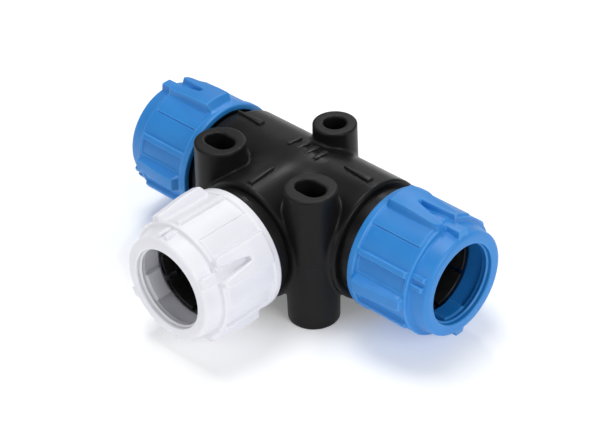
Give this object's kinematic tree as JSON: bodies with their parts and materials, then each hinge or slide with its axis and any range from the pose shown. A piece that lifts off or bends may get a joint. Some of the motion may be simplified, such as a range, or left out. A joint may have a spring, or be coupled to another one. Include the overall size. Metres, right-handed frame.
{
  "type": "pipe tee fitting",
  "caption": "Equal tee fitting for 22 mm pipe with ribbed screw nuts, inner grip and seal rings, and slotted fixing bosses beside the branch.",
  "frame": {"origin": "middle of the pair of slots, on the plane of the bosses' feet", "axes": "+X along the run towards the right nut, -Y along the branch, +Z from the feet up the bosses"},
  "size_m": [0.1144, 0.0744, 0.0424],
  "materials": {
    "body_plastic": "satin black moulded plastic",
    "blue_nut_plastic": "semi-gloss moulded plastic",
    "white_nut_plastic": "semi-gloss moulded plastic",
    "wedge_plastic": "smooth black acetal",
    "spring_steel": "bright stamped stainless steel",
    "washer_plastic": "natural moulded plastic",
    "seal_rubber": "lightly greased black rubber"
  },
  "bodies": {
    "tee": {"tee_body": "body_plastic", "support_washer_left": "washer_plastic", "support_washer_right": "washer_plastic", "support_washer_branch": "washer_plastic", "outer_o_ring_left": "seal_rubber", "outer_o_ring_right": "seal_rubber", "outer_o_ring_branch": "seal_rubber", "spacer_ring_left": "washer_plastic", "spacer_ring_right": "washer_plastic", "spacer_ring_branch": "washer_plastic", "inner_o_ring_left": "seal_rubber", "inner_o_ring_right": "seal_rubber", "inner_o_ring_branch": "seal_rubber"},
    "grip_left": {"grab_wedge_left": "wedge_plastic", "grab_ring_left": "spring_steel"},
    "screwed_left": {"nut_left": "blue_nut_plastic"},
    "grip_right": {"grab_wedge_right": "wedge_plastic", "grab_ring_right": "spring_steel"},
    "screwed_right": {"nut_right": "blue_nut_plastic"},
    "grip_branch": {"grab_wedge_branch": "wedge_plastic", "grab_ring_branch": "spring_steel"},
    "screwed_branch": {"nut_branch": "white_nut_plastic"}
  },
  "joints": [
    {"name": "nut_travel_left", "type": "slide", "parent": "tee", "child": "grip_left", "axis": [-1, 0, 0], "range_m": [0, 0.0065]},
    {"name": "nut_turn_left", "type": "hinge", "parent": "grip_left", "child": "screwed_left", "pos_m": [-0.0315, 0.0162, 0.0212], "axis": [-1, 0, 0], "range_deg": [0, 720]},
    {"name": "nut_travel_right", "type": "slide", "parent": "tee", "child": "grip_right", "axis": [1, 0, 0], "range_m": [0, 0.0065]},
    {"name": "nut_turn_right", "type": "hinge", "parent": "grip_right", "child": "screwed_right", "pos_m": [0.0315, 0.0162, 0.0212], "axis": [1, 0, 0], "range_deg": [0, 720]},
    {"name": "nut_travel_branch", "type": "slide", "parent": "tee", "child": "grip_branch", "axis": [0, -1, 0], "range_m": [0, 0.0065]},
    {"name": "nut_turn_branch", "type": "hinge", "parent": "grip_branch", "child": "screwed_branch", "pos_m": [0, -0.0125, 0.0212], "axis": [0, -1, 0], "range_deg": [0, 720]}
  ],
  "couplings": [
    {"joint": "nut_travel_left", "follows": "nut_turn_left", "m_per_rad": 0.0005093},
    {"joint": "nut_travel_right", "follows": "nut_turn_right", "m_per_rad": 0.0005093},
    {"joint": "nut_travel_branch", "follows": "nut_turn_branch", "m_per_rad": 0.0005093}
  ]
}
